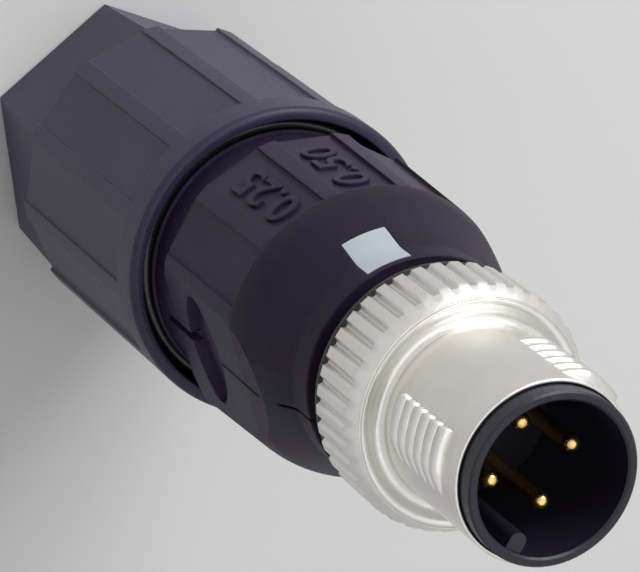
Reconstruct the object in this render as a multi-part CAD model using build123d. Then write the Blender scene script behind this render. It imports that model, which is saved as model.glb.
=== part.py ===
from build123d import *
from math import atan, cos, degrees, radians, sin, tan
import os

# A round M12 plug for a data or sensor cable: four gold pins in a keyed plastic carrier,
# a knurled metal coupling ring that turns on it, a moulded housing, and a hexagonal union nut
# that presses a clamping cage, a cable seal and a wire guide onto the insulation piercing forks.
# Z runs along the plug. Zero is the rear face of the union nut, and the mating face is at the top.
# The pale mark on the housing looks along +X. All sizes are millimetres.

# Lengths along the axis, from the rear face to the mating face
hex_length = 9.0
nut_length = 28.4
grip_gap = 2.2
grip_length = 11.15
shoulder_length = 4.7
neck_length = 1.85
ring_gap = 2.15
knurl_length = 4.55
bar_length = 8.9
ring_front_setback = 1.1

# Union nut
hex_rear_width = 16.3
hex_front_width = 17.1
hex_corner_round = 0.7
nut_taper = 0.2
nut_lip_round = 0.45
nut_panel_count = 12
nut_panel_angle = 23.0
nut_panel_depth = 0.2
nut_panel_end_gap = 2.5
cable_entry_radius = 4.2
cable_entry_length = 2.6
entry_chamfer = 0.6
nut_cone_end = 8.2
nut_mouth_step = 0.7
nut_mouth_wall = 0.8
nut_mouth_depth = 2.6
nut_thread_setback = 1.0
strip_turn = 21.5
hex_turn = 51.5
nut_bore_play = 0.3
thread_play = 0.10
lead_in = 0.6

# Housing
housing_tube_length = 13.6
housing_tube_wall = 1.4
housing_collar_gap = 0.4
housing_collar_length = 2.9
grip_wall = 1.97
grip_taper = 0.41
grip_rear_chamfer = 1.0
shoulder_round = 7.0
neck_step = 0.93
neck_round = 1.5
guide_bore_radius = 6.95
guide_bore_depth = 18.0
side_flat_wall = 1.1
side_flat_length = 12.8
grip_panel_angles = (-45.0, -15.0, 15.0, 45.0)
grip_panel_half_angle = 11.5
grip_panel_depth = 0.22
grip_panel_end_gap = 0.75
slot_width = 0.55
slot_length = 3.2
slot_depth = 0.7
seam_width = 0.22
seam_depth = 0.35
seam_length = 3.3
scoop_setback = 3.3
scoop_half_length = 4.2
scoop_front_bulge = 3.7
scoop_rear_bulge = 0.5
scoop_depth = 0.7
spigot_wall = 0.65
spigot_length = 1.9

# Pale mark let into the shoulder
mark_width = 2.75
mark_length = 3.2
mark_thickness = 0.3
mark_front_gap = 0.4
mark_play = 0.03

# Pin carrier
collar_radius = 5.0
collar_wall = 0.56
collar_edge_chamfer = 0.12
pin_field_depth = 9.6
carrier_flange_length = 1.65
carrier_body_step = 0.4
carrier_body_reach = 1.4
carrier_play = 0.05
carrier_flange_play = 0.15
key_width = 1.0
key_reach = 1.1
key_angle = 135.0
key_setback = 0.35

# Contacts
pin_count = 4
pin_radius = 0.5
pin_circle_radius = 2.5
pin_tip_setback = 2.35
pin_collar_radius = 0.75
pin_collar_length = 1.6
pin_collar_reach = 6.7
pin_play = 0.03
fork_circle_radius = 4.5
fork_width = 2.2
fork_thickness = 0.5
fork_length = 6.0
fork_slot_width = 0.4
fork_slot_length = 4.2
fork_mouth_width = 1.3
fork_mouth_depth = 1.0
fork_tip_width = 0.1
fork_foot_length = 0.7

# Coupling ring
ring_bore_play = 0.06
ring_wall = 0.22
knurl_rise = 0.37
knurl_lip_drop = 0.65
knurl_chamfer_length = 1.0
knurl_rear_chamfer = 0.15
knurl_teeth = 40
knurl_groove_width = 0.60
knurl_groove_floor = 0.20
knurl_groove_depth = 0.28
knurl_front_gap = 0.8
ring_face_dish = 0.3
ring_face_rim = 0.25
ring_face_root = 0.45
ring_front_chamfer = 0.12
thread_height = 0.57
thread_pitch = 1.0
thread_ridges = 6
thread_start_gap = 1.9
thread_sectors = 3
thread_sector_angle = 43.5
thread_turn = 46.0
thread_root_half = 0.40
thread_crest_half = 0.10
thread_sink = 0.08

# Retaining ring between the carrier and the coupling ring
retainer_reach = 1.95
retainer_width = 0.8
retainer_bite = 0.38
retainer_thickness = 0.93
retainer_gap_angle = 40.0
retainer_turn = 200.0
retainer_play = 0.05

# Seals
friction_ring_section = 0.96
friction_ring_gap = 0.22
carrier_seal_setback = 3.3
carrier_seal_section = 1.0
nut_seal_setback = 2.3
nut_seal_bite = 0.5
seal_play = 0.04
seal_groove_play = 0.1

# Wire guide
guide_setback = 3.0
guide_play = 0.10
guide_front_gap = 0.8
guide_hole_radius = 0.9
wire_channel_radius = 1.05
wire_mouth_radius = 1.45
wire_mouth_depth = 1.4
fork_slot_play = 0.15
fork_slot_lead = 0.8
guide_key_width = 1.8
guide_key_height = 0.55
guide_key_front_gap = 0.6
guide_key_play = 0.08
guide_key_turn = 45.0

# Clamping cage and cable seal
cage_rear = 3.4
cage_base_length = 5.75
cage_key_length = 3.0
cage_wall = 2.0
cage_tip_wall = 0.45
finger_wall = 1.35
cage_finger_count = 8
cage_slit_width = 0.7
cage_slit_gap = 0.8
cone_play = 0.12
seal_wall = 1.5
seal_lip = 0.35
seal_lip_length = 1.5
seal_lip_inset = 2.0
seal_rear_setback = 1.8
seal_front_setback = 0.75

# How far a cutting shape reaches past what it cuts
overcut = 1.0

# Values that follow from the sizes above
grip_rear = nut_length + grip_gap
shoulder_start = grip_rear + grip_length
neck_start = shoulder_start + shoulder_length
neck_end = neck_start + neck_length
knurl_rear = neck_end + ring_gap
knurl_front = knurl_rear + knurl_length
ring_front = knurl_front + bar_length
collar_front = ring_front + ring_front_setback
housing_rear = grip_rear - housing_tube_length
guide_bore_end = housing_rear + guide_bore_depth
guide_rear = housing_rear + guide_setback
guide_radius = guide_bore_radius - guide_play
carrier_rear = guide_bore_end - carrier_play - carrier_flange_length
carrier_body_end = neck_end + carrier_body_reach
fork_foot = carrier_rear - pin_play - fork_foot_length
fork_rear = fork_foot - fork_length
guide_front = carrier_rear - fork_foot_length - guide_front_gap
pin_field_floor = collar_front - pin_field_depth
collar_bore_radius = collar_radius - collar_wall
ring_bore_radius = collar_radius + ring_bore_play
ring_bar_radius = ring_bore_radius + ring_wall
retainer_rear = knurl_rear + retainer_reach - retainer_width / 2
retainer_inner_radius = collar_radius - retainer_bite
retainer_outer_radius = retainer_inner_radius + retainer_thickness
carrier_body_radius = collar_radius + carrier_body_step
carrier_flange_radius = guide_bore_radius - carrier_flange_play
carrier_bore = carrier_body_radius + carrier_play
spigot_radius = carrier_bore + spigot_wall
neck_radius = spigot_radius + neck_step
knurl_radius = neck_radius + knurl_rise
knurl_lip_radius = knurl_radius - knurl_lip_drop
housing_tube_radius = guide_bore_radius + housing_tube_wall
grip_front_radius = guide_bore_radius + grip_wall
grip_rear_radius = grip_front_radius + grip_taper
side_flat_distance = guide_bore_radius + side_flat_wall
nut_thread_radius = housing_tube_radius + thread_play
nut_mouth_radius = nut_thread_radius + nut_mouth_step
nut_front_radius = nut_mouth_radius + nut_mouth_wall
nut_rear_radius = nut_front_radius + nut_taper
housing_collar_radius = nut_mouth_radius - housing_collar_gap
nut_seal_rear = nut_length - nut_seal_setback
nut_seal_inner = housing_tube_radius - nut_seal_bite
nut_seal_section = nut_mouth_radius - seal_play - nut_seal_inner
carrier_seal_inner = carrier_bore - seal_play - carrier_seal_section
cage_base_radius = guide_radius
nut_bore_radius = cage_base_radius + nut_bore_play
cage_bore_radius = cage_base_radius - cage_wall
cage_front = guide_rear - carrier_play
seal_outer_radius = cage_bore_radius - carrier_play
seal_bore_radius = seal_outer_radius - seal_wall
seal_rear = cage_rear + seal_rear_setback
seal_front = cage_front - seal_front_setback
sector_step = 360 / thread_sectors
land_step = 360 / nut_panel_count
thread_radius = ring_bar_radius + thread_height


def turned(points):
    """The solid of revolution of a closed outline given as radius and height."""
    outline = Plane.XZ * Polyline(*points, close=True)
    return revolve(make_face(outline), axis=Axis.Z)


def tube(outer, inner, low, high):
    """A plain sleeve."""
    return turned([(inner, low), (outer, low), (outer, high), (inner, high)])


def rod(radius, low, high, x=0.0, y=0.0):
    """A round bar along Z."""
    return Pos(x, y, low) * Cylinder(radius, high - low, align=(Align.CENTER, Align.CENTER, Align.MIN))


def bar(x_low, x_high, width, low, high):
    """A rectangular bar that reaches out along +X, centred on the X axis."""
    size = Box(x_high - x_low, width, high - low, align=(Align.MIN, Align.CENTER, Align.MIN))
    return Pos(x_low, 0, low) * size


def turn(angle, shape):
    """The shape turned about the plug's axis."""
    return Rot(0, 0, angle) * shape


def flat_cutter(radius_low, radius_high, half_angle, drop, low, high):
    """Cuts a flat on a cone between two heights, flush at half_angle to each side less the drop."""
    lean = degrees(atan((radius_low - radius_high) / (high - low)))
    middle = (radius_low + radius_high) / 2
    width = 2 * middle * sin(radians(half_angle))
    face_x = middle * cos(radians(half_angle)) - drop
    tool = Box(2 * overcut, width, high - low, align=(Align.MIN, Align.CENTER, Align.CENTER))
    return Pos(face_x, 0, (low + high) / 2) * Rot(0, -lean, 0) * tool


def nut_radius_at(z):
    """The nut's land radius, which narrows a little towards the front."""
    share = (z - hex_length) / (nut_length - hex_length)
    return nut_rear_radius + (nut_front_radius - nut_rear_radius) * share


def make_hexagon():
    """The rear hexagon with moulding draft and rounded corners."""
    rear = RegularPolygon(hex_rear_width / 2, 6, major_radius=False)
    front_z = hex_length + nut_lip_round
    front = Pos(0, 0, front_z) * RegularPolygon(hex_front_width / 2, 6, major_radius=False)
    body = loft([fillet(rear.vertices(), hex_corner_round), fillet(front.vertices(), hex_corner_round)])
    rear_rim = body.faces().sort_by(Axis.Z)[0].edges()
    return chamfer(rear_rim, hex_corner_round / 2)


def cone_radius_at(z):
    """The pressing cone inside the nut, which squeezes the fingers of the cage."""
    start = cage_bore_radius + cage_tip_wall + cone_play
    share = (z - cage_rear) / (nut_cone_end - cage_rear)
    return start + (nut_bore_radius - start) * share


def make_union_nut():
    barrel = turned([
        (0, hex_length), (nut_rear_radius - nut_lip_round, hex_length),
        (nut_rear_radius, hex_length + nut_lip_round), (nut_front_radius, nut_length - nut_lip_round),
        (nut_front_radius - nut_lip_round, nut_length), (0, nut_length)])
    nut = barrel + turn(hex_turn, make_hexagon())
    low = hex_length - overcut
    high = nut_length - nut_panel_end_gap
    panel = flat_cutter(nut_radius_at(low), nut_radius_at(high), nut_panel_angle / 2,
                        nut_panel_depth, low, high)
    for k in range(nut_panel_count):
        nut -= turn(strip_turn + (k + 0.5) * land_step, panel)
    thread_start = housing_rear - nut_thread_setback
    mouth = nut_length - nut_mouth_depth
    mouth_lead = nut_mouth_radius - nut_thread_radius
    return nut - turned([
        (0, -overcut), (cable_entry_radius + entry_chamfer + overcut, -overcut),
        (cable_entry_radius, entry_chamfer), (cable_entry_radius, cable_entry_length),
        (cone_radius_at(cable_entry_length), cable_entry_length), (nut_bore_radius, nut_cone_end),
        (nut_bore_radius, thread_start), (nut_thread_radius, thread_start + lead_in),
        (nut_thread_radius, mouth - mouth_lead), (nut_mouth_radius, mouth),
        (nut_mouth_radius, nut_length + overcut), (0, nut_length + overcut)])


def guide_keys(low, high):
    """Two ribs that keep the sliding parts from turning with the nut."""
    rib = bar(guide_radius - guide_key_height, guide_radius + guide_key_height, guide_key_width, low, high)
    return turn(guide_key_turn, rib) + turn(guide_key_turn + 180, rib)


def make_cage():
    """The clamping cage: a ring with springy fingers that close round the cable."""
    base_start = cage_front - cage_base_length
    tip_radius = cage_bore_radius + cage_tip_wall
    finger_radius = cage_bore_radius + finger_wall
    knee = cage_rear + (finger_radius - tip_radius) / (nut_bore_radius - tip_radius - cone_play) \
        * (nut_cone_end - cage_rear)
    cage = turned([
        (cage_bore_radius, cage_rear), (tip_radius, cage_rear), (finger_radius, knee),
        (finger_radius, base_start), (cage_base_radius, base_start), (cage_base_radius, cage_front),
        (cage_bore_radius, cage_front)])
    slit = bar(0, cage_base_radius, cage_slit_width, cage_rear - overcut, base_start - cage_slit_gap)
    for k in range(cage_finger_count):
        cage -= turn(k * 360 / cage_finger_count, slit)
    return cage + guide_keys(cage_front - cage_key_length, cage_front)


def make_cable_seal():
    """The rubber sleeve inside the cage, with three sealing lips in its bore."""
    relief = seal_bore_radius + seal_lip
    half = seal_lip_length / 2
    points = [(relief, seal_rear), (seal_outer_radius, seal_rear), (seal_outer_radius, seal_front),
              (relief, seal_front)]
    for middle in (seal_front - seal_lip_inset, (seal_front + seal_rear) / 2, seal_rear + seal_lip_inset):
        points += [(relief, middle + half + seal_lip), (seal_bore_radius, middle + half),
                   (seal_bore_radius, middle - half), (relief, middle - half - seal_lip)]
    return turned(points)


def make_wire_guide():
    """The splice ring: four wire channels, each crossed by the slot of one piercing fork."""
    guide = tube(guide_radius, guide_hole_radius, guide_rear, guide_front)
    guide += guide_keys(guide_rear, guide_front - guide_key_front_gap)
    slot_out = fork_circle_radius + fork_thickness / 2 + fork_slot_play
    slot_in = fork_circle_radius - fork_thickness / 2 - fork_slot_play
    slot_span = fork_width + 2 * fork_slot_play
    for k in range(pin_count):
        channel = rod(wire_channel_radius, guide_rear, guide_front, fork_circle_radius)
        mouth = Pos(fork_circle_radius, 0, guide_rear) * Cone(
            wire_mouth_radius, wire_channel_radius, wire_mouth_depth,
            align=(Align.CENTER, Align.CENTER, Align.MIN))
        slot = bar(slot_in, slot_out, slot_span, fork_rear - fork_slot_lead, guide_front + overcut)
        guide -= turn(k * 360 / pin_count, channel + mouth + slot)
    return guide


def shoulder_solid(shrink):
    """The round shoulder and neck as a solid, drawn in by the shrink."""
    solid = turned([
        (0, shoulder_start), (grip_front_radius - shrink, shoulder_start),
        (neck_radius - shrink, neck_start), (neck_radius - shrink, neck_end), (0, neck_end)])
    return fillet(rims(solid, neck_start, 0), neck_round + shrink)


def rims(solid, z, least_radius):
    """The round edges of a solid at one height."""
    found = solid.edges().filter_by(GeomType.CIRCLE)
    return [e for e in found if abs(e.center().Z - z) < 0.01 and e.radius > least_radius]


def side_scoop():
    """The almond recess in the side flat, a latching place for a tool."""
    half = scoop_half_length
    front = ThreePointArc((-half, 0), (0, scoop_front_bulge), (half, 0))
    rear = ThreePointArc((half, 0), (0, -scoop_rear_bulge), (-half, 0))
    outline = make_face(Curve() + [front, rear])
    place = (side_flat_distance - scoop_depth, 0, grip_rear + scoop_setback)
    plane = Plane(origin=place, x_dir=(0, 1, 0), z_dir=(1, 0, 0))
    return extrude(plane * outline, amount=scoop_depth + 2 * overcut)


def side_cutter():
    """The wrench flat, the almond recess, the slot behind it and the seam ahead of it."""
    outside = grip_rear_radius + overcut
    rear = grip_rear - grip_gap / 4
    flat = bar(side_flat_distance, outside, 2 * outside, rear, grip_rear + side_flat_length)
    slot = bar(side_flat_distance - slot_depth, outside, slot_width, grip_rear - grip_gap,
               grip_rear + slot_length)
    seam = bar(neck_radius - seam_depth, outside, seam_width, neck_end - seam_length, neck_end + overcut / 4)
    return flat + slot + side_scoop() + seam


def make_housing():
    collar_rear = grip_rear - housing_collar_length
    spigot_end = neck_end + spigot_length
    body = turned([
        (guide_bore_radius, housing_rear), (housing_tube_radius, housing_rear),
        (housing_tube_radius, collar_rear), (housing_collar_radius, collar_rear),
        (housing_collar_radius, grip_rear), (grip_rear_radius, grip_rear + grip_rear_chamfer),
        (grip_front_radius, shoulder_start),
        (neck_radius, neck_start), (neck_radius, neck_end), (spigot_radius, neck_end),
        (spigot_radius, spigot_end), (carrier_bore, spigot_end), (carrier_bore, guide_bore_end),
        (guide_bore_radius, guide_bore_end)])
    body = fillet(rims(body, shoulder_start, neck_radius), shoulder_round)
    body = fillet(rims(body, neck_start, spigot_radius), neck_round)
    panel = flat_cutter(grip_rear_radius, grip_front_radius, grip_panel_half_angle, grip_panel_depth,
                        grip_rear - grip_gap / 4, shoulder_start - grip_panel_end_gap)
    for side in (0, 180):
        body -= [turn(side + angle, panel) for angle in grip_panel_angles]
        body -= turn(side + 90, side_cutter())
    keyway = bar(guide_radius - guide_key_height, guide_radius + guide_key_height + guide_key_play,
                 guide_key_width + 2 * guide_key_play, housing_rear - overcut, guide_bore_end)
    body -= [turn(guide_key_turn, keyway), turn(guide_key_turn + 180, keyway)]
    body -= tube(housing_tube_radius + overcut, nut_seal_inner - seal_play, nut_seal_rear - seal_groove_play,
                 nut_seal_rear + nut_seal_section + seal_groove_play)
    pocket = mark_bar(2 * mark_play) - shoulder_solid(mark_thickness + mark_play)
    return body - pocket


def mark_bar(extra):
    """A bar through the shoulder with the mark's outline, wider and longer by the extra."""
    front = neck_end - mark_front_gap + extra / 2
    return bar(0, grip_front_radius + overcut, mark_width + extra, front - mark_length - extra, front)


def make_index_mark():
    """The pale mark, which follows the shoulder and lies flush in its pocket."""
    return mark_bar(0) & (shoulder_solid(0) - shoulder_solid(mark_thickness))


def make_pin_carrier():
    """The keyed insert that holds the four pins."""
    flange_front = guide_bore_end - carrier_play
    ring_start = retainer_rear - retainer_play
    ring_stop = retainer_rear + retainer_width + retainer_play
    groove_floor = retainer_inner_radius - retainer_play
    edge = collar_edge_chamfer
    body = turned([
        (0, carrier_rear), (carrier_flange_radius, carrier_rear), (carrier_flange_radius, flange_front),
        (carrier_body_radius, flange_front), (carrier_body_radius, carrier_body_end),
        (collar_radius, carrier_body_end), (collar_radius, ring_start), (groove_floor, ring_start),
        (groove_floor, ring_stop), (collar_radius, ring_stop), (collar_radius, collar_front - edge),
        (collar_radius - edge, collar_front), (collar_bore_radius + edge, collar_front),
        (collar_bore_radius, collar_front - edge), (collar_bore_radius, pin_field_floor),
        (0, pin_field_floor)])
    seal_rear_edge = neck_end - carrier_seal_setback - carrier_seal_section / 2
    body -= tube(carrier_body_radius + overcut, carrier_seal_inner - seal_play,
                 seal_rear_edge - seal_groove_play, seal_rear_edge + carrier_seal_section + seal_groove_play)
    key_round = collar_bore_radius - key_reach + key_width / 2
    key_front = collar_front - key_setback
    key = bar(key_round, collar_bore_radius + collar_wall / 2, key_width, pin_field_floor, key_front)
    key += rod(key_width / 2, pin_field_floor, key_front, key_round)
    body += turn(key_angle, key)
    seat_rear = carrier_rear + pin_collar_reach - pin_play
    for k in range(pin_count):
        hole = rod(pin_radius + pin_play, carrier_rear, pin_field_floor, pin_circle_radius)
        seat = rod(pin_collar_radius + pin_play, seat_rear, seat_rear + pin_collar_length + 2 * pin_play,
                   pin_circle_radius)
        body -= turn(k * 360 / pin_count, hole + seat)
    return body


def make_contact_pin(k):
    """One contact: a round pin with a hemispherical tip, and a piercing fork at the rear."""
    tip = collar_front - pin_tip_setback - pin_radius
    seat = carrier_rear + pin_collar_reach
    pin = rod(pin_radius, fork_foot, tip, pin_circle_radius)
    pin += Pos(pin_circle_radius, 0, tip) * Sphere(pin_radius)
    pin += rod(pin_collar_radius, seat, seat + pin_collar_length, pin_circle_radius)
    pin += bar(pin_circle_radius, fork_circle_radius + fork_thickness / 2, 2 * pin_radius,
               fork_foot, fork_foot + fork_foot_length)
    return turn(k * 360 / pin_count, pin + make_fork())


def make_fork():
    """The flat fork that cuts through the insulation and grips the strands."""
    half = fork_width / 2
    throat = fork_slot_width / 2
    mouth = fork_mouth_width / 2
    shoulder = fork_rear + half - mouth
    blade = [(half, fork_foot), (half, shoulder), (mouth + fork_tip_width, fork_rear), (mouth, fork_rear),
             (throat, fork_rear + fork_mouth_depth), (throat, fork_rear + fork_slot_length)]
    mirrored = [(-x, z) for x, z in reversed(blade)]
    outline = Polyline(*blade, *mirrored, close=True)
    plane = Plane(origin=(fork_circle_radius, 0, 0), x_dir=(0, 1, 0), z_dir=(1, 0, 0))
    return extrude(make_face(plane * outline), amount=fork_thickness / 2, both=True)


def thread_ridge(z, angle):
    """One short length of thread with a sharp profile, leaning at the lead angle."""
    rise = thread_pitch * thread_sector_angle / 360
    foot = ring_bar_radius - thread_sink
    profile = Plane.XZ * Polyline(
        (foot, z - thread_root_half), (thread_radius, z - thread_crest_half),
        (thread_radius, z + thread_crest_half), (foot, z + thread_root_half), close=True)
    ridge = revolve(make_face(profile), axis=Axis.Z, revolution_arc=thread_sector_angle)
    middle = thread_sector_angle / 2
    lean = degrees(atan(rise / (2 * thread_radius * sin(radians(middle)))))
    level = Pos(0, 0, -z) * ridge
    leaned = Rot(0, 0, middle) * Rot(lean, 0, 0) * Rot(0, 0, -middle) * level
    return turn(angle, Pos(0, 0, z) * leaned)


def knurl_groove():
    """The groove between two teeth, with sloping sides, which ends short of the front face."""
    floor, top = knurl_groove_floor / 2, knurl_groove_width / 2
    low = knurl_radius - knurl_groove_depth
    spread = top + (top - floor) / knurl_groove_depth * overcut
    outline = Polyline((low, -floor), (knurl_radius + overcut, -spread), (knurl_radius + overcut, spread),
                       (low, floor), close=True)
    length = knurl_length - knurl_front_gap + overcut
    return extrude(Plane.XY.offset(knurl_rear - overcut) * make_face(outline), amount=length, dir=(0, 0, 1))


def make_coupling_ring():
    """The knurled metal ring with three short sectors of M12 thread."""
    retainer_low = retainer_rear - retainer_play
    retainer_high = retainer_rear + retainer_width + retainer_play
    bed = retainer_outer_radius + retainer_play
    body = turned([
        (ring_bore_radius, knurl_rear), (knurl_radius - knurl_rear_chamfer, knurl_rear),
        (knurl_radius, knurl_rear + knurl_rear_chamfer), (knurl_radius, knurl_front - knurl_chamfer_length),
        (knurl_lip_radius, knurl_front), (knurl_lip_radius - ring_face_rim, knurl_front),
        (ring_bar_radius + ring_face_root, knurl_front - ring_face_dish),
        (ring_bar_radius, knurl_front - ring_face_dish + ring_face_root),
        (ring_bar_radius, ring_front - ring_front_chamfer),
        (ring_bar_radius - ring_front_chamfer, ring_front), (ring_bore_radius, ring_front),
        (ring_bore_radius, retainer_high), (bed, retainer_high), (bed, retainer_low),
        (ring_bore_radius, retainer_low)])
    body -= [turn(k * 360 / knurl_teeth, knurl_groove()) for k in range(knurl_teeth)]
    first = knurl_front + thread_start_gap
    for s in range(thread_sectors):
        start = first + s * thread_pitch / thread_sectors
        angle = thread_turn + s * sector_step
        body += [thread_ridge(start + k * thread_pitch, angle) for k in range(thread_ridges)]
    return body


def make_retaining_ring():
    """The open spring ring that ties the coupling ring to the carrier."""
    ring = tube(retainer_outer_radius, retainer_inner_radius, retainer_rear, retainer_rear + retainer_width)
    reach = 2 * retainer_outer_radius
    side = reach * tan(radians(retainer_gap_angle / 2))
    wedge = make_face(Polyline((0, 0), (reach, -side), (reach, side), close=True))
    gap = Pos(0, 0, retainer_rear - overcut) * extrude(wedge, amount=retainer_width + 2 * overcut)
    return ring - turn(retainer_turn, gap)


def rubber_ring(inner, section, rear):
    """A round-section ring by its inner radius, its section and its rear edge."""
    return Pos(0, 0, rear + section / 2) * Torus(inner + section / 2, section / 2)


def make_parts():
    parts = {
        "union_nut": make_union_nut(),
        "clamping_cage": make_cage(),
        "cable_seal": make_cable_seal(),
        "wire_guide": make_wire_guide(),
        "housing": make_housing(),
        "index_mark": make_index_mark(),
        "pin_carrier": make_pin_carrier(),
        "coupling_ring": make_coupling_ring(),
        "retaining_ring": make_retaining_ring(),
        "friction_ring": rubber_ring(spigot_radius + seal_play, friction_ring_section,
                                     knurl_rear - friction_ring_gap - friction_ring_section),
        "carrier_seal": rubber_ring(carrier_seal_inner, carrier_seal_section,
                                    neck_end - carrier_seal_setback - carrier_seal_section / 2),
        "nut_seal": rubber_ring(nut_seal_inner, nut_seal_section, nut_seal_rear),
    }
    for k in range(pin_count):
        parts[f"contact_pin_{k + 1}"] = make_contact_pin(k)
    return parts


def write_parts():
    os.makedirs("parts", exist_ok=True)
    for name, shape in make_parts().items():
        export_step(shape, f"parts/{name}.step")
        print(name, round(shape.volume, 2))


write_parts()
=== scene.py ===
import bmesh
import bpy
import math
from mathutils import Matrix, Vector


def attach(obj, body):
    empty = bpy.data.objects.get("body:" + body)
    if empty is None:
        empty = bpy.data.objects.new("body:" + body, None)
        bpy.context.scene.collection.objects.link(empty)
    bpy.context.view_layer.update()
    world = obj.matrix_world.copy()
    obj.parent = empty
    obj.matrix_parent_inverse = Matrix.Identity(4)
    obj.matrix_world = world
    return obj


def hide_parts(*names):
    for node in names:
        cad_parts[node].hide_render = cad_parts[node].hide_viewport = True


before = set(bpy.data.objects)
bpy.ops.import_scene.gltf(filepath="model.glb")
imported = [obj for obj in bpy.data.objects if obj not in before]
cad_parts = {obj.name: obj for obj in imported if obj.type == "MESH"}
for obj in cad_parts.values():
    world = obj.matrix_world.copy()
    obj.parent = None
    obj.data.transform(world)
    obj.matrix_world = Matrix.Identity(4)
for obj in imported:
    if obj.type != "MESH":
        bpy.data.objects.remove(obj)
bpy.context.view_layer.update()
mm = 0.001


# small tools for modelling by hand

def clearSelection():
    bpy.ops.object.select_all(action="DESELECT")


def pick(piece):
    clearSelection()
    piece.select_set(True)
    bpy.context.view_layer.objects.active = piece


def settle(piece, name):
    pick(piece)
    bpy.ops.object.transform_apply(location=True, rotation=True, scale=True)
    piece.name = name
    piece.data.name = name
    return piece


def applyModifier(piece, modifier):
    pick(piece)
    bpy.ops.object.modifier_apply(modifier=modifier.name)


def softProfile(corners, steps=5):  # corners are (radius, height, rounding), in millimetres
    points = []
    for k, (radius, height, rounding) in enumerate(corners):
        here = Vector((radius, height))
        if not rounding:
            points.append((radius, height))
            continue
        before = (Vector(corners[k - 1][:2]) - here).normalized()
        after = (Vector(corners[(k + 1) % len(corners)][:2]) - here).normalized()
        half = before.angle(after) / 2
        reach = rounding / math.tan(half)
        centre = here + (before + after).normalized() * rounding / math.sin(half)
        first = here + before * reach - centre
        last = here + after * reach - centre
        for s in range(steps + 1):
            swing = first.lerp(last, s / steps).normalized() * rounding
            points.append(tuple(centre + swing))
    return points


def turnedPiece(name, profile, steps=240, solid=False):
    clearSelection()
    radius, height = profile[0]
    fill = "NGON" if solid else "NOTHING"
    bpy.ops.mesh.primitive_circle_add(vertices=steps, radius=radius * mm, fill_type=fill,
                                      location=(0, 0, height * mm))
    piece = settle(bpy.context.object, name)
    bpy.ops.object.mode_set(mode="EDIT")
    bpy.ops.mesh.select_all(action="SELECT")
    path = profile[1:] if solid else profile[1:] + profile[:1]
    for nextRadius, nextHeight in path:
        rise = (nextHeight - height) * mm
        share = nextRadius / radius
        bpy.ops.mesh.extrude_region_move(TRANSFORM_OT_translate={"value": (0, 0, rise)})
        bpy.ops.transform.resize(value=(share, share, 1), center_override=(0, 0, 0))
        bpy.ops.transform.translate(value=(0, 0, 0))
        radius, height = nextRadius, nextHeight
    bpy.ops.mesh.select_all(action="SELECT")
    bpy.ops.mesh.remove_doubles(threshold=0.0008 * mm)
    bpy.ops.mesh.normals_make_consistent(inside=False)
    bpy.ops.object.mode_set(mode="OBJECT")
    return piece


def block(size, place, turn=0.0, lean=0.0):  # a box at a distance and height, turned about the plug's axis
    clearSelection()
    out, height = place
    spot = (out * math.cos(turn) * mm, out * math.sin(turn) * mm, height * mm)
    bpy.ops.mesh.primitive_cube_add(size=1, location=spot, rotation=(0, lean, turn))
    tool = bpy.context.object
    tool.scale = [s * mm for s in size]
    return settle(tool, "tool")


def turnedCopies(piece, angles):  # copies round the axis, joined to one mesh
    copies = []
    for angle in angles:
        copy = piece.copy()
        copy.data = piece.data.copy()
        bpy.context.collection.objects.link(copy)
        copy.data.transform(Matrix.Rotation(math.radians(angle), 4, "Z"))
        copies.append(copy)
    bpy.data.objects.remove(piece)
    return joined(copies)


def joined(pieces):
    clearSelection()
    for piece in pieces:
        piece.select_set(True)
    bpy.context.view_layer.objects.active = pieces[0]
    if len(pieces) > 1:
        bpy.ops.object.join()
    return bpy.context.view_layer.objects.active


def combine(piece, tool, how="DIFFERENCE"):
    work = piece.modifiers.new("work", "BOOLEAN")
    work.operation = how
    work.solver = "EXACT"
    work.object = tool
    applyModifier(piece, work)
    bpy.data.objects.remove(tool)
    return piece


def soften(piece, width, steps=2):  # rounds every edge that turns by more than 28 degrees
    edge = piece.modifiers.new("edge", "BEVEL")
    edge.width = width * mm
    edge.segments = steps
    edge.limit_method = "ANGLE"
    edge.angle_limit = math.radians(28)
    edge.use_clamp_overlap = False
    applyModifier(piece, edge)
    smooth(piece)


def smooth(piece, angle=32.0):
    pick(piece)
    bpy.ops.object.shade_smooth_by_angle(angle=math.radians(angle))
    weight = piece.modifiers.new("weight", "WEIGHTED_NORMAL")
    weight.keep_sharp = True
    applyModifier(piece, weight)


def finishPiece(piece, name, body, nodes, material):
    settle(piece, name)
    piece.data.materials.clear()
    piece.data.materials.append(material)
    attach(piece, body)
    if nodes:
        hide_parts(*nodes)
    print("made", name, len(piece.data.polygons), "faces")
    return piece


# finishes, all on object coordinates

def startMaterial(name):
    material = bpy.data.materials.new(name)
    material.use_nodes = True
    nodes = material.node_tree.nodes
    shader = nodes["Principled BSDF"]
    coords = nodes.new("ShaderNodeTexCoord")
    return material, nodes, material.node_tree.links, shader, coords


def addNoise(nodes, links, coords, scale, detail=2.0, rough=0.5):
    noise = nodes.new("ShaderNodeTexNoise")
    noise.inputs["Scale"].default_value = scale
    noise.inputs["Detail"].default_value = detail
    noise.inputs["Roughness"].default_value = rough
    links.new(coords.outputs["Object"], noise.inputs["Vector"])
    return noise


def addRamp(nodes, links, source, low, high, lowColour, highColour):
    ramp = nodes.new("ShaderNodeValToRGB")
    ramp.color_ramp.elements[0].position = low
    ramp.color_ramp.elements[1].position = high
    ramp.color_ramp.elements[0].color = (*lowColour, 1)
    ramp.color_ramp.elements[1].color = (*highColour, 1)
    links.new(source, ramp.inputs["Fac"])
    return ramp


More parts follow.
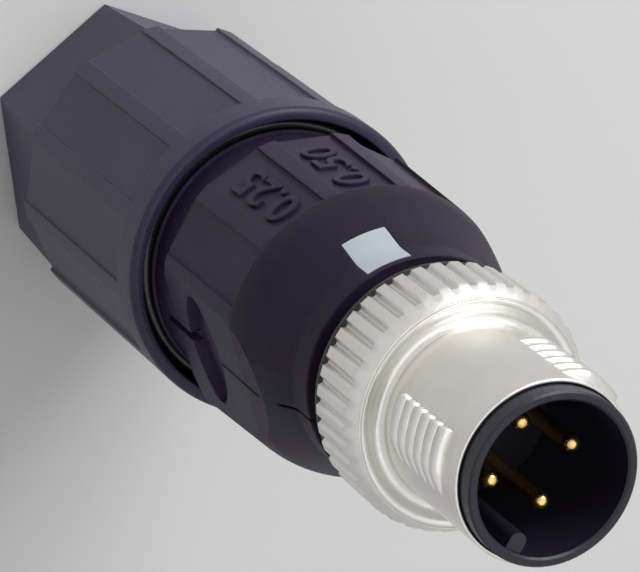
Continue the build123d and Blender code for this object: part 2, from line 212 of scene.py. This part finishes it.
def addRange(nodes, links, source, low, high):
    spread = nodes.new("ShaderNodeMapRange")
    spread.inputs["From Min"].default_value = 0.3
    spread.inputs["From Max"].default_value = 0.7
    spread.inputs["To Min"].default_value = low
    spread.inputs["To Max"].default_value = high
    links.new(source, spread.inputs["Value"])
    return spread


def addBump(nodes, links, shader, source, strength, depth):
    bump = nodes.new("ShaderNodeBump")
    bump.inputs["Strength"].default_value = strength
    bump.inputs["Distance"].default_value = depth * mm
    links.new(source, bump.inputs["Height"])
    links.new(bump.outputs["Normal"], shader.inputs["Normal"])
    return bump


def mouldedPlastic(name, dark, light, roughness, grain, grainDepth, sheen=0.5):
    material, nodes, links, shader, coords = startMaterial(name)
    cloud = addNoise(nodes, links, coords, 140.0, 3.0)
    ramp = addRamp(nodes, links, cloud.outputs["Fac"], 0.3, 0.7, dark, light)
    links.new(ramp.outputs["Color"], shader.inputs["Base Color"])
    fine = addNoise(nodes, links, coords, grain, 3.0, 0.6)
    rough = addRange(nodes, links, fine.outputs["Fac"], roughness - 0.05, roughness + 0.07)
    links.new(rough.outputs["Result"], shader.inputs["Roughness"])
    addBump(nodes, links, shader, fine.outputs["Fac"], 0.6, grainDepth)
    shader.inputs["Specular IOR Level"].default_value = sheen
    return material


def platedMetal(name, dark, light, roughness, grain, grainDepth):
    material, nodes, links, shader, coords = startMaterial(name)
    cloud = addNoise(nodes, links, coords, 420.0, 4.0, 0.6)
    ramp = addRamp(nodes, links, cloud.outputs["Fac"], 0.3, 0.7, dark, light)
    links.new(ramp.outputs["Color"], shader.inputs["Base Color"])
    fine = addNoise(nodes, links, coords, grain, 2.0)
    rough = addRange(nodes, links, fine.outputs["Fac"], roughness - 0.05, roughness + 0.08)
    links.new(rough.outputs["Result"], shader.inputs["Roughness"])
    addBump(nodes, links, shader, fine.outputs["Fac"], 0.5, grainDepth)
    shader.inputs["Metallic"].default_value = 1.0
    return material


def housingFinish(name):  # smooth gripping panels behind, a spark-eroded grain from the shoulder on
    material, nodes, links, shader, coords = startMaterial(name)
    split = nodes.new("ShaderNodeSeparateXYZ")
    links.new(coords.outputs["Object"], split.inputs["Vector"])
    mask = nodes.new("ShaderNodeMapRange")
    mask.interpolation_type = "SMOOTHSTEP"
    mask.inputs["From Min"].default_value = 40.9 * mm
    mask.inputs["From Max"].default_value = 41.2 * mm
    links.new(split.outputs["Z"], mask.inputs["Value"])
    cloud = addNoise(nodes, links, coords, 260.0, 3.0)
    smoothTone = addRamp(nodes, links, cloud.outputs["Fac"], 0.3, 0.7,
                         (0.025, 0.017, 0.044), (0.032, 0.023, 0.055))
    grainTone = addRamp(nodes, links, cloud.outputs["Fac"], 0.3, 0.7,
                        (0.012, 0.007, 0.022), (0.018, 0.011, 0.032))
    tone = nodes.new("ShaderNodeMix")
    tone.data_type = "RGBA"
    links.new(mask.outputs["Result"], tone.inputs["Factor"])
    links.new(smoothTone.outputs["Color"], tone.inputs["A"])
    links.new(grainTone.outputs["Color"], tone.inputs["B"])
    links.new(tone.outputs["Result"], shader.inputs["Base Color"])
    fine = addNoise(nodes, links, coords, 13000.0, 1.0, 0.5)
    rough = addRange(nodes, links, fine.outputs["Fac"], 0.42, 0.56)
    links.new(rough.outputs["Result"], shader.inputs["Roughness"])
    strength = nodes.new("ShaderNodeMath")
    strength.operation = "MULTIPLY_ADD"
    strength.inputs[1].default_value = 0.75
    strength.inputs[2].default_value = 0.12
    links.new(mask.outputs["Result"], strength.inputs[0])
    bump = addBump(nodes, links, shader, fine.outputs["Fac"], 0.5, 0.05)
    links.new(strength.outputs["Value"], bump.inputs["Strength"])
    shader.inputs["Specular IOR Level"].default_value = 0.20
    return material


nutPlastic = mouldedPlastic("nutPlastic", (0.028, 0.024, 0.058), (0.035, 0.030, 0.070),
                            0.38, 6000.0, 0.008, 0.30)
housingPlastic = housingFinish("housingPlastic")
carrierPlastic = mouldedPlastic("carrierPlastic", (0.013, 0.011, 0.024), (0.019, 0.016, 0.032),
                                0.38, 6000.0, 0.006, 0.4)
guidePlastic = mouldedPlastic("guidePlastic", (0.24, 0.25, 0.27), (0.30, 0.31, 0.33),
                              0.45, 4200.0, 0.010)
cagePlastic = mouldedPlastic("cagePlastic", (0.050, 0.050, 0.056), (0.066, 0.066, 0.072),
                             0.45, 4200.0, 0.010)
markPlastic = mouldedPlastic("markPlastic", (0.47, 0.53, 0.58), (0.53, 0.59, 0.64),
                             0.55, 6000.0, 0.006)
sealRubber = mouldedPlastic("sealRubber", (0.006, 0.005, 0.007), (0.010, 0.009, 0.011),
                            0.28, 2600.0, 0.004)
nickelPlate = platedMetal("nickelPlate", (0.72, 0.705, 0.67), (0.77, 0.755, 0.72), 0.34, 2500.0, 0.0006)
springSteel = platedMetal("springSteel", (0.48, 0.48, 0.49), (0.56, 0.56, 0.57), 0.28, 3000.0, 0.002)
goldPlate = platedMetal("goldPlate", (0.80, 0.52, 0.18), (0.90, 0.62, 0.26), 0.20, 2500.0, 0.001)
print("finishes ready")


# union nut: a hexagon behind, a barrel with twelve lands in front

nutShape = {
    "hexRear": 9.41, "hexFront": 9.87, "hexLength": 9.45, "hexTurn": 51.5, "cornerBevel": 0.42, "rimBevel": 0.3,
    "barrelRear": 9.0, "rearRadius": 10.15, "frontRadius": 9.95, "length": 28.4, "lipRound": 0.45,
    "mouthRadius": 9.15, "mouthRound": 0.12, "mouthFloor": 25.8, "mouthStep": 0.7,
    "threadRadius": 8.45, "threadStart": 16.0, "threadRunOut": 0.6, "boreRadius": 7.15,
    "coneStart": 5.25, "coneEnd": 8.2, "entryRadius": 4.2, "entryChamfer": 0.6, "entryLength": 2.6,
    "panels": 12, "panelTurn": 36.5, "panelHalf": 11.5, "panelDepth": 0.2, "panelEnd": 25.9, "edge": 0.12,
    "facets": 144, "facetTurn": 1.5,  # the turn keeps facet lines off the panels' edges
}


def makeHexagon(shape):
    clearSelection()
    bpy.ops.mesh.primitive_cylinder_add(
        vertices=6, radius=shape["hexRear"] * mm, depth=shape["hexLength"] * mm,
        location=(0, 0, shape["hexLength"] / 2 * mm), rotation=(0, 0, math.radians(shape["hexTurn"] - 30)))
    piece = settle(bpy.context.object, "hexagon")
    bpy.ops.object.mode_set(mode="EDIT")
    mesh = bmesh.from_edit_mesh(piece.data)
    for vert in mesh.verts:
        vert.select = vert.co.z > shape["hexLength"] / 2 * mm
    mesh.select_flush(True)
    bmesh.update_edit_mesh(piece.data)
    share = shape["hexFront"] / shape["hexRear"]
    bpy.ops.transform.resize(value=(share, share, 1), center_override=(0, 0, 0))
    mesh = bmesh.from_edit_mesh(piece.data)
    for edge in mesh.edges:  # the upright edges
        edge.select = abs(edge.verts[0].co.z - edge.verts[1].co.z) > shape["hexLength"] / 2 * mm
    bmesh.update_edit_mesh(piece.data)
    bpy.ops.mesh.bevel(offset=shape["cornerBevel"] * mm, segments=4, affect="EDGES")
    mesh = bmesh.from_edit_mesh(piece.data)
    for edge in mesh.edges:  # the rear rim
        edge.select = max(v.co.z for v in edge.verts) < 0.01 * mm
    bmesh.update_edit_mesh(piece.data)
    bpy.ops.mesh.bevel(offset=shape["rimBevel"] * mm, segments=3, affect="EDGES")
    bpy.ops.object.mode_set(mode="OBJECT")
    return piece


def sunkPanel(shape, low, high, middle, taper):  # cuts one flat panel that leans with the taper
    spread = math.radians(shape["panelHalf"])
    face = middle * math.cos(spread) - shape["panelDepth"]
    size = (2, 2 * middle * math.sin(spread), high - low)
    return block(size, (face + 1, (low + high) / 2), 0, -math.atan(taper))


def nutPanel(shape):
    taper = (shape["rearRadius"] - shape["frontRadius"]) / (shape["length"] - shape["barrelRear"])
    return sunkPanel(shape, shape["barrelRear"] - 2, shape["panelEnd"], shape["rearRadius"] - 0.08, taper)


def makeUnionNut(shape):
    bore, thread = shape["boreRadius"], shape["threadRadius"]
    barrel = turnedPiece("barrel", softProfile([
        (bore, shape["barrelRear"], 0), (shape["rearRadius"], shape["barrelRear"], 0),
        (shape["frontRadius"], shape["length"], shape["lipRound"]),
        (shape["mouthRadius"], shape["length"], shape["mouthRound"]),
        (shape["mouthRadius"], shape["mouthFloor"], 0), (thread, shape["mouthFloor"] - shape["mouthStep"], 0),
        (thread, shape["threadStart"] + shape["threadRunOut"], 0),
        (bore, shape["threadStart"], 0)]), shape["facets"])
    barrel.data.transform(Matrix.Rotation(math.radians(shape["facetTurn"]), 4, "Z"))
    angles = [shape["panelTurn"] + k * 360 / shape["panels"] for k in range(shape["panels"])]
    combine(barrel, turnedCopies(nutPanel(shape), angles))
    soften(barrel, shape["edge"], 3)
    entry, chamfer = shape["entryRadius"], shape["entryChamfer"]
    clear = bore + 0.02  # the hexagon's bore stays just outside the barrel's
    core = turnedPiece("core", [
        (entry + chamfer + 0.4, -0.4), (entry + chamfer, 0), (entry, chamfer), (entry, shape["entryLength"]),
        (shape["coneStart"], shape["entryLength"]), (clear, shape["coneEnd"]), (clear, shape["hexLength"] + 1)],
        solid=True)
    hexagon = combine(makeHexagon(shape), core)
    smooth(hexagon)
    nut = joined([hexagon, barrel])
    return finishPiece(nut, "unionNut", "union_nut", ["union_nut"], nutPlastic)


makeUnionNut(nutShape)


# housing: rear tube, grip with sunk panels, side flats, shoulder and neck

housingShape = {
    "tubeRear": 17.0, "threadRoot": 8.08, "sealRear": 26.0, "sealFront": 27.46, "sealFloor": 7.82,
    "tubeRadius": 8.35, "collarRear": 27.7, "collarRadius": 8.15, "gripRear": 30.6, "chamferRadius": 8.75,
    "rearChamfer": 1.0, "gripRearRadius": 9.33, "gripFrontRadius": 8.92, "kneeHeight": 41.75, "kneeRound": 7.0,
    "neckStart": 46.45, "neckRadius": 7.03, "neckRound": 1.5, "neckEnd": 48.3, "spigotRadius": 6.1,
    "spigotEnd": 50.2, "carrierBore": 5.45, "guideBore": 6.95, "guideBoreEnd": 35.0, "facets": 144, "edge": 0.06,
    "panelTurns": (-45, -15, 15, 45), "panelHalf": 11.5, "panelDepth": 0.22,
    "panelStart": 30.05, "panelEnd": 41.0, "slopeDrop": 0.28, "slopeLift": 0.02,
    "markWidth": 2.81, "markRear": 44.67, "markFront": 47.93,
    "sideFlat": 8.05, "sideWidth": 16, "sideStart": 28.2, "sideEnd": 44.4,
    "slotWidth": 0.55, "slotStart": 28.6, "slotEnd": 33.3, "slotDepth": 0.58,
    "seamWidth": 0.16, "seamStart": 45.0, "seamEnd": 49.0, "seamDepth": 0.3,
    "lineWidth": 0.05, "lineStart": 37.6, "lineEnd": 43.2, "lineDepth": 0.02,  # the fine mould line
    "scoopHeight": 35.1, "scoopHalf": 3.9, "scoopBulge": 2.3, "scoopDepth": 0.7,
    "threadCrest": 8.33, "threadStart": 18.0, "threadPitch": 1.5, "threadTurns": 5, "threadReach": 0.5,
    "threadFlat": 0.42,
}


def makeScoop(shape):  # an almond-shaped pocket cutter for the side flat, two arcs back to back
    half, bulge = shape["scoopHalf"], shape["scoopBulge"]
    radius = (half * half + bulge * bulge) / (2 * bulge)
    clearSelection()
    bpy.ops.mesh.primitive_cylinder_add(vertices=128, radius=radius * mm, depth=3 * mm,
                                        location=(0, 0, (bulge - radius) * mm), rotation=(0, math.radians(90), 0))
    tool = settle(bpy.context.object, "scoop")
    bpy.ops.object.mode_set(mode="EDIT")
    bpy.ops.mesh.select_all(action="SELECT")
    bpy.ops.mesh.bisect(plane_co=(0, 0, 0), plane_no=(0, 0, 1), clear_inner=True, use_fill=False)
    bpy.ops.object.mode_set(mode="OBJECT")
    mirror = tool.modifiers.new("mirror", "MIRROR")
    mirror.use_axis = (False, False, True)
    applyModifier(tool, mirror)
    bpy.ops.object.mode_set(mode="EDIT")
    bpy.ops.mesh.select_all(action="SELECT")
    out = shape["sideFlat"] - shape["scoopDepth"] + 1.5
    bpy.ops.transform.translate(value=(out * mm, 0, shape["scoopHeight"] * mm))
    bpy.ops.mesh.normals_make_consistent(inside=False)
    bpy.ops.object.mode_set(mode="OBJECT")
    return tool


def gripPanel(shape):
    rear, front = shape["gripRearRadius"], shape["gripFrontRadius"]
    low, high = shape["panelStart"], shape["panelEnd"]
    return sunkPanel(shape, low, high, (rear + front) / 2, (rear - front) / (high - low))


def panelSlope(shape):  # cuts the shallow slope at a panel's rear end
    spread = math.radians(shape["panelHalf"])
    face = (shape["gripRearRadius"] + shape["slopeLift"]) * math.cos(spread) - shape["panelDepth"]
    width = (shape["gripRearRadius"] + shape["gripFrontRadius"]) * math.sin(spread)
    tool = block((2, width, 2.4), (1, -1.2))
    lean = math.atan(shape["slopeDrop"] / shape["rearChamfer"])
    place = Matrix.Translation((face * mm, 0, (shape["gripRear"] + shape["rearChamfer"]) * mm))
    tool.data.transform(place @ Matrix.Rotation(lean, 4, "Y"))
    return tool


def sideTool(out, width, low, high):  # a block that cuts one side of the housing down to a distance
    return block((2, width, high - low), (out + 1, (high + low) / 2))


def makeHousing(shape):
    neck = shape["neckRadius"]
    body = turnedPiece("body", softProfile([
        (shape["guideBore"], shape["tubeRear"], 0), (shape["threadRoot"], shape["tubeRear"], 0.15),
        (shape["threadRoot"], shape["sealRear"], 0), (shape["sealFloor"], shape["sealRear"], 0),
        (shape["sealFloor"], shape["sealFront"], 0), (shape["tubeRadius"], shape["sealFront"], 0),
        (shape["tubeRadius"], shape["collarRear"], 0),
        (shape["collarRadius"], shape["collarRear"], 0), (shape["collarRadius"], shape["gripRear"], 0),
        (shape["chamferRadius"], shape["gripRear"], 0),
        (shape["gripRearRadius"], shape["gripRear"] + shape["rearChamfer"], 0),
        (shape["gripFrontRadius"], shape["kneeHeight"], shape["kneeRound"]),
        (neck, shape["neckStart"], shape["neckRound"]),
        (neck, shape["neckEnd"], 0.12), (shape["spigotRadius"], shape["neckEnd"], 0),
        (shape["spigotRadius"], shape["spigotEnd"], 0), (shape["carrierBore"], shape["spigotEnd"], 0),
        (shape["carrierBore"], shape["guideBoreEnd"], 0), (shape["guideBore"], shape["guideBoreEnd"], 0)], 8),
        shape["facets"])
    angles = [angle + side for angle in shape["panelTurns"] for side in (0, 180)]
    panelTool = combine(gripPanel(shape), panelSlope(shape), "UNION")
    combine(body, turnedCopies(panelTool, angles))
    flat = shape["sideFlat"]
    side = [
        sideTool(flat, shape["sideWidth"], shape["sideStart"], shape["sideEnd"]),
        sideTool(flat - shape["slotDepth"], shape["slotWidth"], shape["slotStart"], shape["slotEnd"]),
        sideTool(neck - shape["seamDepth"], shape["seamWidth"], shape["seamStart"], shape["seamEnd"]),
        sideTool(flat - shape["lineDepth"], shape["lineWidth"], shape["lineStart"], shape["lineEnd"]),
        makeScoop(shape)]
    for tool in side:
        combine(body, turnedCopies(tool, (90, 270)))
    mark = block((3, shape["markWidth"], shape["markFront"] - shape["markRear"]),
                 (8.1, (shape["markFront"] + shape["markRear"]) / 2))
    combine(body, mark)
    soften(body, shape["edge"])
    return finishPiece(body, "housingShell", "plug_body", ["housing"], housingPlastic)


def makeTubeThread(shape):  # the thread that carries the union nut, one profile screwed round the tube
    clearSelection()
    bpy.ops.mesh.primitive_circle_add(vertices=3, radius=shape["threadReach"] * mm, fill_type="NOTHING",
                                      rotation=(math.radians(90), math.radians(90), 0))
    thread = settle(bpy.context.object, "thread")
    bpy.ops.object.mode_set(mode="EDIT")
    bpy.ops.mesh.select_all(action="SELECT")
    bpy.ops.transform.resize(value=(shape["threadFlat"], 1, 1), center_override=(0, 0, 0))
    inner = shape["threadCrest"] - shape["threadReach"] * shape["threadFlat"]
    bpy.ops.transform.translate(value=(inner * mm, 0, shape["threadStart"] * mm))
    bpy.ops.object.mode_set(mode="OBJECT")
    screw = thread.modifiers.new("screw", "SCREW")
    screw.steps = screw.render_steps = 64
    screw.iterations = shape["threadTurns"]
    screw.screw_offset = shape["threadPitch"] * mm
    applyModifier(thread, screw)
    bpy.ops.object.mode_set(mode="EDIT")
    bpy.ops.mesh.select_all(action="SELECT")
    bpy.ops.mesh.fill_holes(sides=8)
    bpy.ops.mesh.normals_make_consistent(inside=False)
    bpy.ops.object.mode_set(mode="OBJECT")
    smooth(thread)
    return finishPiece(thread, "tubeThread", "plug_body", [], housingPlastic)


def makeNumber(shape, values, text, angle):  # raised digits that read from the shoulder back to the nut
    clearSelection()
    bpy.ops.object.text_add()
    number = bpy.context.object
    number.data.body = text
    number.data.size = values["size"] * mm
    number.data.extrude = values["rise"] * mm
    number.data.bevel_depth = values["soft"] * mm
    number.data.resolution_u = 6
    number.data.align_x, number.data.align_y = "CENTER", "CENTER"
    bpy.ops.object.convert(target="MESH")
    number = bpy.context.object
    rear, front = shape["gripRearRadius"], shape["gripFrontRadius"]
    lean = math.atan((rear - front) / (shape["panelEnd"] - shape["panelStart"]))
    out = (rear + front) / 2 * math.cos(math.radians(shape["panelHalf"])) - shape["panelDepth"]
    sine, cosine = math.sin(lean), math.cos(lean)
    facing = Matrix(((sine, 0, cosine), (0, 1, 0), (-cosine, 0, sine))).to_4x4()
    place = Matrix.Translation((out * mm, 0, values["height"] * mm)) @ facing
    number.matrix_world = Matrix.Rotation(math.radians(angle), 4, "Z") @ place @ Matrix.Diagonal(
        (values["stretch"], 1, 1, 1))
    pick(number)
    bpy.ops.object.transform_apply(location=True, rotation=True, scale=True)
    bpy.ops.object.mode_set(mode="EDIT")
    bpy.ops.mesh.select_all(action="SELECT")
    bpy.ops.mesh.remove_doubles(threshold=0.001 * mm)
    bpy.ops.mesh.normals_make_consistent(inside=False)
    bpy.ops.object.mode_set(mode="OBJECT")
    smooth(number, 40)
    name = "sizeNumber" + text.replace(".", "_")
    return finishPiece(number, name, "plug_body", [], housingPlastic)


makeHousing(housingShape)
makeTubeThread(housingShape)
numberShape = {"size": 3.0, "rise": 0.14, "soft": 0.05, "height": 36.5, "stretch": 1.30}
makeNumber(housingShape, numberShape, "0.25", 15)
makeNumber(housingShape, numberShape, "0.50", -15)


# coupling ring: knurl, bar and three sectors of thread

ringShape = {
    "rear": 50.45, "knurlFront": 55.0, "front": 63.9, "bore": 5.06, "barRadius": 5.28, "facets": 320,
    "knurlRadius": 7.4, "lipRadius": 6.75, "chamfer": 1.0, "dish": 0.3, "dishOuter": 6.35, "dishInner": 5.9,
    "rimLine": 0.1, "rimDepth": 0.2,
    "teeth": 40, "grooveTop": 0.60, "grooveFloor": 0.20, "grooveDepth": 0.28,
    "grooveEnd": 54.2, "grooveRound": 0.12, "edge": 0.06,
    "ridges": 6, "sectors": 3, "firstRidge": 56.9, "pitch": 1.0, "arc": 43.5, "turn": 46.0,
    "crest": 5.85, "ridgeHalf": 0.42, "ridgeSink": 0.12, "bluntPart": 0.07, "fadePart": 0.45,
}


def makeKnurlGroove(shape):  # the groove between two teeth, wider at the top, rounded where it runs out
    low, high, reach = shape["rear"] - 0.5, shape["grooveEnd"], 0.15
    height = shape["grooveDepth"] + reach
    tool = block((height, shape["grooveFloor"], high - low),
                 (shape["knurlRadius"] + reach - height / 2, (low + high) / 2))
    bpy.ops.object.mode_set(mode="EDIT")
    mesh = bmesh.from_edit_mesh(tool.data)
    for vert in mesh.verts:
        vert.select = vert.co.x > shape["knurlRadius"] * mm
    mesh.select_flush(True)
    bmesh.update_edit_mesh(tool.data)
    slope = (shape["grooveTop"] - shape["grooveFloor"]) / shape["grooveDepth"]
    share = (shape["grooveFloor"] + slope * height) / shape["grooveFloor"]
    bpy.ops.transform.resize(value=(1, share, 1), center_override=(0, 0, 0))
    mesh = bmesh.from_edit_mesh(tool.data)
    for edge in mesh.edges:
        edge.select = all(v.co.z > (high - 0.01) * mm and v.co.x < shape["knurlRadius"] * mm for v in edge.verts)
    bmesh.update_edit_mesh(tool.data)
    bpy.ops.mesh.bevel(offset=shape["grooveRound"] * mm, segments=3, affect="EDGES")
    bpy.ops.object.mode_set(mode="OBJECT")
    return tool


def ridgeShare(shape, along):  # how high a ridge stands along its arc: a blunt start and a long run-out
    blunt = min(1.0, 0.15 + along / shape["bluntPart"])
    fade = min(1.0, 0.12 + (1 - along) / shape["fadePart"])
    return math.sqrt(blunt * (2 - blunt)) * fade ** 0.8


def makeRidge(shape, height, angle):  # a short length of thread
    clearSelection()
    bpy.ops.mesh.primitive_circle_add(vertices=12, radius=1, fill_type="NGON", rotation=(math.radians(90), 0, 0))
    ridge = settle(bpy.context.object, "ridge")
    depth = (shape["crest"] - shape["barRadius"]) * mm
    arc = math.radians(shape["arc"])
    bpy.ops.object.mode_set(mode="EDIT")
    bpy.ops.mesh.select_all(action="SELECT")
    bpy.ops.transform.resize(value=(depth, 1, shape["ridgeHalf"] * mm), center_override=(0, 0, 0))
    bpy.ops.transform.translate(value=(shape["barRadius"] * mm, 0, 0))
    bpy.ops.mesh.spin(steps=30, angle=-arc, center=(0, 0, 0), axis=(0, 0, 1))
    mesh = bmesh.from_edit_mesh(ridge.data)
    base = (shape["barRadius"] - shape["ridgeSink"]) * mm
    for vert in mesh.verts:
        share = ridgeShare(shape, min(1.0, max(0.0, math.atan2(vert.co.y, vert.co.x) / arc)))
        radius = math.hypot(vert.co.x, vert.co.y)
        pull = (base + (radius - base) * share) / radius
        vert.co = (vert.co.x * pull, vert.co.y * pull, vert.co.z * (0.4 + 0.6 * share))
    bmesh.update_edit_mesh(ridge.data)
    bpy.ops.mesh.select_all(action="SELECT")
    bpy.ops.mesh.remove_doubles(threshold=0.0008 * mm)
    bpy.ops.mesh.normals_make_consistent(inside=False)
    bpy.ops.object.mode_set(mode="OBJECT")
    lean = math.atan(shape["pitch"] * shape["arc"] / 360 / (2 * shape["crest"] * math.sin(arc / 2)))
    centred = Matrix.Rotation(lean, 4, "X") @ Matrix.Rotation(-arc / 2, 4, "Z")
    turned = Matrix.Rotation(math.radians(angle) + arc / 2, 4, "Z") @ centred
    ridge.data.transform(Matrix.Translation((0, 0, height * mm)) @ turned)
    return ridge


def makeCouplingRing(shape):
    lip, front = shape["lipRadius"], shape["knurlFront"]
    ring = turnedPiece("ring", softProfile([
        (shape["bore"], shape["rear"], 0), (shape["knurlRadius"], shape["rear"], 0.12),
        (shape["knurlRadius"], front - shape["chamfer"], 0.6), (lip + 0.06, front - 0.08, 0),
        (lip, front - shape["rimDepth"], 0), (lip - shape["rimLine"], front - shape["rimDepth"], 0),
        (lip - shape["rimLine"], front, 0.06), (shape["dishOuter"], front, 0.5),
        (shape["dishInner"], front - shape["dish"], 0.5), (shape["barRadius"], front - shape["dish"], 0.4),
        (shape["barRadius"], shape["front"], 0.12), (shape["bore"], shape["front"], 0)], 6), shape["facets"])
    angles = [k * 360 / shape["teeth"] for k in range(shape["teeth"])]
    combine(ring, turnedCopies(makeKnurlGroove(shape), angles))
    soften(ring, shape["edge"], 3)
    ridges = []
    for s in range(shape["sectors"]):
        for k in range(shape["ridges"]):
            height = shape["firstRidge"] + (k + s / shape["sectors"]) * shape["pitch"]
            ridges.append(makeRidge(shape, height, shape["turn"] + s * 360 / shape["sectors"]))
    thread = joined(ridges)
    smooth(thread, 60)
    ring = joined([ring, thread])
    return finishPiece(ring, "knurledRing", "coupling_ring", ["coupling_ring"], nickelPlate)


makeCouplingRing(ringShape)


# pieces kept from the frame get their finishes only

carried = {
    "clamping_cage": (cagePlastic, "cage_plastic"), "cable_seal": (sealRubber, "seal_rubber"),
    "wire_guide": (guidePlastic, "guide_plastic"), "index_mark": (markPlastic, "mark_plastic"),
    "pin_carrier": (carrierPlastic, "carrier_plastic"), "retaining_ring": (springSteel, "spring_steel"),
    "friction_ring": (sealRubber, "seal_rubber"), "carrier_seal": (sealRubber, "seal_rubber"),
    "nut_seal": (sealRubber, "seal_rubber"), "contact_pin_1": (goldPlate, "gold_plate"),
    "contact_pin_2": (goldPlate, "gold_plate"), "contact_pin_3": (goldPlate, "gold_plate"),
    "contact_pin_4": (goldPlate, "gold_plate"),
}
for node, (material, slotName) in carried.items():
    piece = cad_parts[node]
    piece.data.materials.clear()
    piece.data.materials.append(material)
print("finishes on the carried-over pieces")


# floor, light and camera

stageSet = {
    "floorSize": 6.0, "floorColour": (0.88, 0.88, 0.88), "background": (0.74, 0.74, 0.74), "ambient": 0.22,
}
cameraSet = {
    "lens": 202.5, "around": -2.5, "place": (0.0906822, 0.0625242, 0.2198854),
    "right": (-0.199433, -0.895224, 0.398498), "up": (0.886267, -0.338274, -0.316389),
    "back": (0.418040, 0.290077, 0.860870), "target": (0.002, 0.001, 0.045),
}


def makeCamera(values):
    data = bpy.data.cameras.new("camera")
    data.lens = values["lens"]
    data.sensor_width = 36
    data.clip_start = 0.01
    data.clip_end = 20
    camera = bpy.data.objects.new("camera", data)
    bpy.context.collection.objects.link(camera)
    axes = [Vector(values[side]) for side in ("right", "up", "back")]
    turn = Matrix((axes[0], axes[1], axes[2])).transposed().to_4x4()
    around = Matrix.Rotation(math.radians(values["around"]), 4, "Z")
    camera.matrix_world = around @ Matrix.Translation(values["place"]) @ turn
    bpy.context.scene.camera = camera
    return camera


camera = makeCamera(cameraSet)


lampSet = {  # each direction is as the camera sees it
    "keyLight": {"direction": (0.62, 0.62, 0.50), "distance": 0.6, "size": (0.4, 0.4), "power": 2.7,
                 "colour": (1.0, 1.0, 1.0)},
    "sideLight": {"direction": (-0.85, 0.45, 0.15), "distance": 0.7, "size": (0.25, 0.45), "power": 1.0,
                  "colour": (0.95, 0.97, 1.0)},
    "topLight": {"direction": (0.398, -0.316, 0.861), "distance": 0.9, "size": (1.1, 1.1), "power": 2.4,
                 "colour": (1.0, 0.99, 0.97)},
}


def addSoftbox(name, values):
    data = bpy.data.lights.new(name, "AREA")
    data.shape = "RECTANGLE"
    data.size, data.size_y = values["size"]
    data.energy = values["power"]
    data.color = values["colour"]
    lamp = bpy.data.objects.new(name, data)
    bpy.context.collection.objects.link(lamp)
    turn = camera.matrix_world.to_3x3()
    away = (turn @ Vector(values["direction"])).normalized()
    lamp.location = Vector(cameraSet["target"]) + away * values["distance"]
    lamp.rotation_mode = "QUATERNION"
    lamp.rotation_quaternion = away.to_track_quat("Z", "Y")


for lampName, values in lampSet.items():
    addSoftbox(lampName, values)

clearSelection()
bpy.ops.mesh.primitive_plane_add(size=stageSet["floorSize"], location=(0, 0, 0))
floor = settle(bpy.context.object, "floor")
floorPaint = bpy.data.materials.new("floorPaint")
floorPaint.use_nodes = True
floorShader = floorPaint.node_tree.nodes["Principled BSDF"]
floorShader.inputs["Base Color"].default_value = (*stageSet["floorColour"], 1)
floorShader.inputs["Roughness"].default_value = 0.9
floor.data.materials.append(floorPaint)


def makeWorld(values):
    world = bpy.data.worlds.new("studio")
    bpy.context.scene.world = world
    world.use_nodes = True
    nodes, links = world.node_tree.nodes, world.node_tree.links
    nodes.clear()
    rays = nodes.new("ShaderNodeLightPath")
    first = nodes.new("ShaderNodeMath")
    first.operation = "MAXIMUM"
    links.new(rays.outputs["Is Camera Ray"], first.inputs[0])
    links.new(rays.outputs["Is Glossy Ray"], first.inputs[1])
    second = nodes.new("ShaderNodeMath")
    second.operation = "MAXIMUM"
    links.new(first.outputs[0], second.inputs[0])
    links.new(rays.outputs["Is Transmission Ray"], second.inputs[1])
    soft = nodes.new("ShaderNodeBackground")
    soft.inputs["Color"].default_value = (1, 1, 1, 1)
    soft.inputs["Strength"].default_value = values["ambient"]
    seen = nodes.new("ShaderNodeBackground")
    seen.inputs["Color"].default_value = (*values["background"], 1)
    seen.inputs["Strength"].default_value = 1.0
    mix = nodes.new("ShaderNodeMixShader")
    out = nodes.new("ShaderNodeOutputWorld")
    links.new(second.outputs[0], mix.inputs[0])
    links.new(soft.outputs[0], mix.inputs[1])
    links.new(seen.outputs[0], mix.inputs[2])
    links.new(mix.outputs[0], out.inputs["Surface"])


makeWorld(stageSet)
bpy.context.scene.view_settings.view_transform = "Standard"
print("stage ready")
